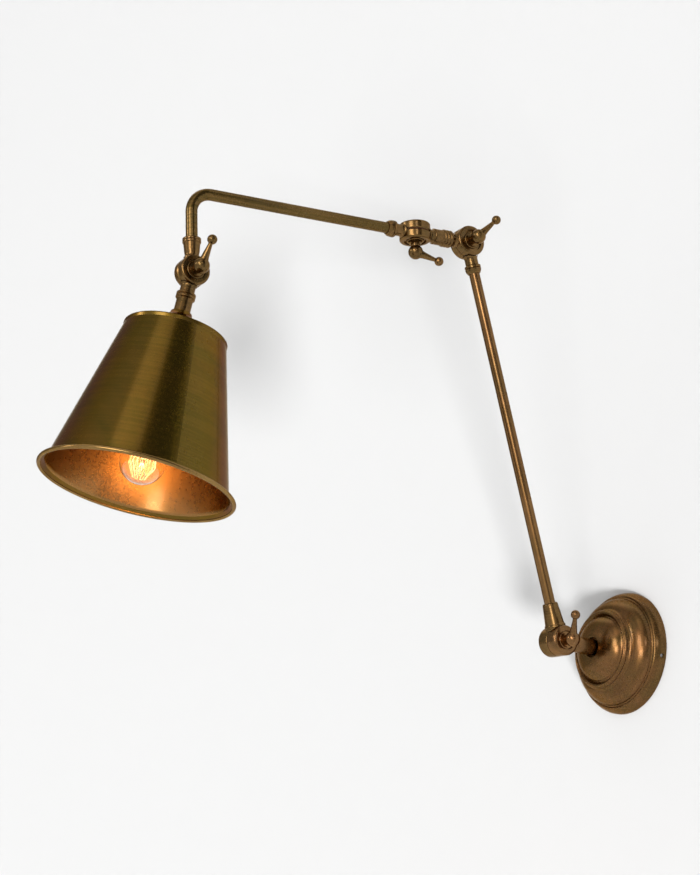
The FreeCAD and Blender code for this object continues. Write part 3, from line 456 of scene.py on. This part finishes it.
def glassFinish():
    look = {"colour": (1.0, 0.985, 0.95, 1.0), "thin": (0.97, 0.96, 0.93, 1.0), "rough": 0.02, "bend": 1.46,
            "waves": 60.0, "bump": 0.05, "reach": 0.0005}
    material, tree, shader, where = newMaterial("bulbGlass")
    shader.inputs["Base Color"].default_value = look["colour"]
    shader.inputs["Roughness"].default_value = look["rough"]
    shader.inputs["IOR"].default_value = look["bend"]
    shader.inputs["Transmission Weight"].default_value = 1.0
    # light from the bulb passes the thin wall without a hard shadow
    path = addNode(tree, "ShaderNodeLightPath", (-300, 400))
    either = addNode(tree, "ShaderNodeMath", (-100, 400), operation="MAXIMUM")
    link(tree, path.outputs["Is Shadow Ray"], either.inputs[0])
    link(tree, path.outputs["Is Diffuse Ray"], either.inputs[1])
    mixWithClear(tree, shader, either.outputs[0], look["thin"])
    wave = addNode(tree, "ShaderNodeTexNoise", (-500, -300))
    wave.inputs["Scale"].default_value = look["waves"]
    link(tree, where, wave.inputs["Vector"])
    addBump(tree, shader, (-250, -300), wave.outputs["Fac"], look["bump"], look["reach"])
    return material


def glowingFilament():
    # a dark wire that glows unevenly along its length
    look = {"hot": (1.0, 0.78, 0.36, 1.0), "warm": (1.0, 0.5, 0.14, 1.0), "wire": (0.05, 0.04, 0.035, 1.0),
            "rough": 0.5, "patches": 120.0, "span": (0.4, 0.6), "strength": 1.9}
    material, tree, shader, where = newMaterial("litFilament")
    noise = addNode(tree, "ShaderNodeTexNoise", (-900, 0))
    noise.inputs["Scale"].default_value = look["patches"]
    link(tree, where, noise.inputs["Vector"])
    heat = rangeOf(tree, (-700, 150), noise.outputs["Fac"], 0.0, 1.0, *look["span"])
    colour = mixColours(tree, (-500, 0), heat, look["warm"], look["hot"])
    shader.inputs["Base Color"].default_value = look["wire"]
    shader.inputs["Roughness"].default_value = look["rough"]
    shader.inputs["Metallic"].default_value = 1.0
    link(tree, colour, shader.inputs["Emission Color"])
    shader.inputs["Emission Strength"].default_value = look["strength"]
    return material


finishes["glass"] = glassFinish()
finishes["filament"] = glowingFilament()
print("glass and filament made")


# every node of the frame gets its finish
finishOf = {
    "wall_plate": "steel", "inlet_grommet": "blackPlastic", "canopy": "canopy", "canopy_grip_screws": "steel",
    "terminal_block": "porcelain", "terminal_screws": "steel", "earth_screw": "brightBrass",
    "stem_knuckle": "baseJoint", "stem_nut": "steel", "stem_lock_washer": "steel", "base_clamp_bolt": "steel",
    "base_friction_washer": "fibre", "base_step_washer": "baseJoint", "base_lever_nut": "baseJoint",
    "arm_socket_knuckle": "socket", "lower_arm_tube": "lowerTube", "elbow_lower_knuckle": "elbowJoint",
    "elbow_clamp_bolt": "steel", "elbow_friction_washer": "fibre", "elbow_lever_nut": "elbowJoint",
    "elbow_link_knuckle": "elbowJoint", "elbow_step_washer": "elbowJoint", "link_coupler": "coupler",
    "swing_link_knuckle": "swingJoint", "swing_clamp_bolt": "steel", "swing_friction_washer": "fibre",
    "swing_lever_nut": "swingJoint", "swing_arm_knuckle": "swingJoint", "swing_step_washer": "swingJoint",
    "upper_arm_tube": "upperTube", "head_arm_knuckle": "headJoint", "head_clamp_bolt": "steel",
    "head_friction_washer": "fibre", "head_step_washer": "headJoint", "head_lever_nut": "headJoint",
    "head_shade_knuckle": "headJoint", "shade_cap": "shadeCap", "shade_cone": "shade", "shade_rim_bead": "rim",
    "shade_lock_nut": "brightBrass", "holder_tube": "brightBrass", "holder_dome": "headJoint",
    "holder_shell": "headJoint", "holder_ring": "headJoint", "holder_insulator": "porcelain",
    "holder_screw_shell": "brightBrass", "holder_contact": "brightBrass", "bulb_glass": "glass",
    "bulb_cap": "brightBrass", "bulb_contact": "steel", "bulb_stem": "glass", "bulb_filament": "filament",
    "bulb_supports": "steel",
}
for name, node in nodes.items():
    node.data.materials.clear()
    node.data.materials.append(finishes[finishOf[name]])
print("finishes given to", len(nodes), "nodes")


# the wall's gap keeps it clear of the lamp's back, and the floor runs a little way behind the wall
studio = {
    "wallColour": shaded(210, 210, 210), "floorColour": shaded(236, 236, 235), "floorHeight": -1.4,
    "rightEdge": 1.15, "width": 14.0, "wallGap": 0.0006, "floorBehind": 0.1, "boxRadius": 0.06,
    "rough": 0.9, "sheen": 0.1, "clear": (1.0, 1.0, 1.0, 1.0), "roomLevel": 0.42,
    "darkCorner": {"toward": (104, 42), "from": 45.0, "to": 14.0, "change": -0.3},
    "openFront": {"toward": (12, 2), "from": 60.0, "to": 12.0, "change": 0.45},
    "highPanel": {"toward": (-100, 62), "from": 34.0, "to": 16.0, "change": 1.1},
}


def towards(sideAngle, rise):
    # a direction seen from the lamp: 0 is straight out from the wall, 90 to its right, rise above the floor
    side, up = math.radians(sideAngle), math.radians(rise)
    return Vector((math.sin(side) * math.cos(up), -math.cos(side) * math.cos(up), math.sin(up)))


def stageMaterial(name, colour, opening=None):
    # pale matt paint, seen only from its front so that the lamp's back can be looked at; an opening is a round
    # hole, given by its middle on the panel and its radius, behind the canopy where no paint shows
    material, tree, shader, where = newMaterial(name)
    shader.inputs["Base Color"].default_value = colour
    shader.inputs["Roughness"].default_value = studio["rough"]
    shader.inputs["Specular IOR Level"].default_value = studio["sheen"]
    side = addNode(tree, "ShaderNodeNewGeometry", (-100, 300))
    unseen = side.outputs["Backfacing"]
    if opening:
        spread = addNode(tree, "ShaderNodeVectorMath", (-900, 0), operation="DISTANCE")
        spread.inputs[1].default_value = opening["middle"]
        within = addNode(tree, "ShaderNodeMath", (-700, 0), operation="LESS_THAN")
        within.inputs[1].default_value = opening["radius"]
        either = addNode(tree, "ShaderNodeMath", (100, 300), operation="MAXIMUM")
        link(tree, where, spread.inputs[0])
        link(tree, spread.outputs["Value"], within.inputs[0])
        link(tree, within.outputs[0], either.inputs[0])
        link(tree, unseen, either.inputs[1])
        unseen = either.outputs[0]
    mixWithClear(tree, shader, unseen, studio["clear"])
    return material


wallMiddle = studio["rightEdge"] - studio["width"] / 2
bpy.ops.mesh.primitive_plane_add(size=studio["width"], location=(wallMiddle, studio["wallGap"], 0),
                                 rotation=(math.radians(90), 0, 0))
wall = bpy.context.active_object
wall.name = "studioWall"
wall.data.materials.append(stageMaterial("wallPaint", studio["wallColour"],
                                         {"middle": (-wallMiddle, 0.0, 0.0), "radius": studio["boxRadius"]}))
floorMiddle = studio["floorBehind"] - studio["width"] / 2
bpy.ops.mesh.primitive_plane_add(size=studio["width"], location=(0, floorMiddle, studio["floorHeight"]))
floor = bpy.context.active_object
floor.name = "studioFloor"
floor.data.materials.append(stageMaterial("floorPaint", studio["floorColour"]))
floor.visible_shadow = False    # the wall's lamps hang low, and their light comes up through it

# the room's own light: even, but for a dark corner, a brighter open front and a pale panel high on the left
world = bpy.data.worlds.new("studioWorld")
scene.world = world
world.use_nodes = True
room = world.node_tree
background = room.nodes["Background"]
background.inputs["Color"].default_value = (1.0, 1.0, 1.0, 1.0)
skyward = addNode(room, "ShaderNodeTexCoord", (-900, 0))
brightness = None
for row, part in enumerate(("darkCorner", "openFront", "highPanel")):
    look = studio[part]
    facing = addNode(room, "ShaderNodeVectorMath", (-700, -240 * row), operation="DOT_PRODUCT")
    facing.inputs[1].default_value = towards(*look["toward"])
    link(room, skyward.outputs["Generated"], facing.inputs[0])
    reach = addNode(room, "ShaderNodeMapRange", (-520, -240 * row), interpolation_type="SMOOTHSTEP")
    reach.inputs["From Min"].default_value = math.cos(math.radians(look["from"]))
    reach.inputs["From Max"].default_value = math.cos(math.radians(look["to"]))
    reach.inputs["To Max"].default_value = look["change"]
    link(room, facing.outputs["Value"], reach.inputs["Value"])
    total = addNode(room, "ShaderNodeMath", (-340 + 160 * row, 0), operation="ADD")
    link(room, reach.outputs["Result"], total.inputs[0])
    if brightness is None:
        total.inputs[1].default_value = studio["roomLevel"]
    else:
        link(room, brightness, total.inputs[1])
    brightness = total.outputs[0]
link(room, brightness, background.inputs["Strength"])

# the wall and the floor have lamps of their own, and the others are for the object alone
litGroups = {}
for name, members in {"wall": (wall,), "floor": (floor,), "object": nodes.values()}.items():
    litGroups[name] = bpy.data.collections.new(name + "Lit")
    for member in members:
        litGroups[name].objects.link(member)

# distant round soft lamps: where each hangs, how wide it looks, and how bright its face is
warmLight, whiteLight = (1.0, 0.92, 0.84), (1.0, 1.0, 1.0)
softLamps = {
    "keyLamp": {"toward": (46, 51), "width": 30.0, "level": 0.85, "colour": (1.0, 0.84, 0.66)},
    "sideWindow": {"toward": (42, -3), "width": 19.0, "level": 8.0, "colour": (1.0, 0.93, 0.84)},
    "frontLamp": {"toward": (30, 15), "width": 22.0, "level": 6.0, "colour": warmLight},
    "leftLamp": {"toward": (-20, 17), "width": 12.0, "level": 9.0, "colour": warmLight},
    "edgeLamp": {"toward": (70, 17), "width": 12.0, "level": 4.0, "colour": warmLight},
    "wallLamp": {"toward": (62, -24), "width": 8.0, "level": 245.0, "colour": whiteLight, "lights": "wall"},
    "wallLift": {"toward": (42, -34), "width": 20.0, "level": 11.0, "colour": whiteLight, "lights": "wall"},
    "floorLamp": {"toward": (20, 70), "width": 30.0, "level": 5.5, "colour": whiteLight, "lights": "floor"},
}
for name, look in softLamps.items():
    lampData = bpy.data.lights.new(name, "SUN")
    lampData.color = look["colour"]
    lampData.angle = math.radians(look["width"])
    lampData.energy = look["level"] * math.pi * math.sin(lampData.angle / 2) ** 2
    lamp = bpy.data.objects.new(name, lampData)
    scene.collection.objects.link(lamp)
    lamp.rotation_mode = "QUATERNION"
    lamp.rotation_quaternion = towards(*look["toward"]).to_track_quat("Z", "Y")
    lamp.light_linking.receiver_collection = litGroups[look.get("lights", "object")]
print("studio ready")

# the lit bulb warms the inside of the shade, and turns with it
bulbGlow = {"colour": (1.0, 0.48, 0.18), "power": 0.36, "radius": 0.016}
glowData = bpy.data.lights.new("bulbGlow", "POINT")
glowData.color = bulbGlow["colour"]
glowData.energy = bulbGlow["power"]
glowData.shadow_soft_size = bulbGlow["radius"]
glow = bpy.data.objects.new("bulbGlow", glowData)
scene.collection.objects.link(glow)
glow.location = pivot + shadeLine * lampLines["bulbAlong"]
glow.parent = frame["bodies"]["lamp_head"]
glow.visible_camera = False
glow.visible_transmission = False
print("bulb lit")

# where the photographer stood, which way they looked and how far the camera was rolled
stand = {"spot": Vector((1.28087, -1.09882, -0.27094)), "turn": 60.444, "rise": 16.649, "roll": 4.582,
         "lens": 61.59, "sensor": 36.0}
turn, rise, roll = (math.radians(stand[part]) for part in ("turn", "rise", "roll"))
ahead = Vector((-math.sin(turn) * math.cos(rise), math.cos(turn) * math.cos(rise), math.sin(rise)))
levelLine = Vector((math.cos(turn), math.sin(turn), 0))
above = levelLine.cross(ahead)
across = math.cos(roll) * levelLine + math.sin(roll) * above
upward = math.cos(roll) * above - math.sin(roll) * levelLine
cameraData = bpy.data.cameras.new("studioCamera")
cameraData.lens = stand["lens"]
cameraData.sensor_width = stand["sensor"]
cameraData.sensor_fit = "AUTO"
camera = bpy.data.objects.new("studioCamera", cameraData)
scene.collection.objects.link(camera)
cameraTurn = Matrix((across, upward, -ahead)).transposed().to_4x4()
camera.matrix_world = Matrix.Translation(stand["spot"]) @ cameraTurn
scene.camera = camera
scene.view_settings.view_transform = "Standard"
print("camera placed")
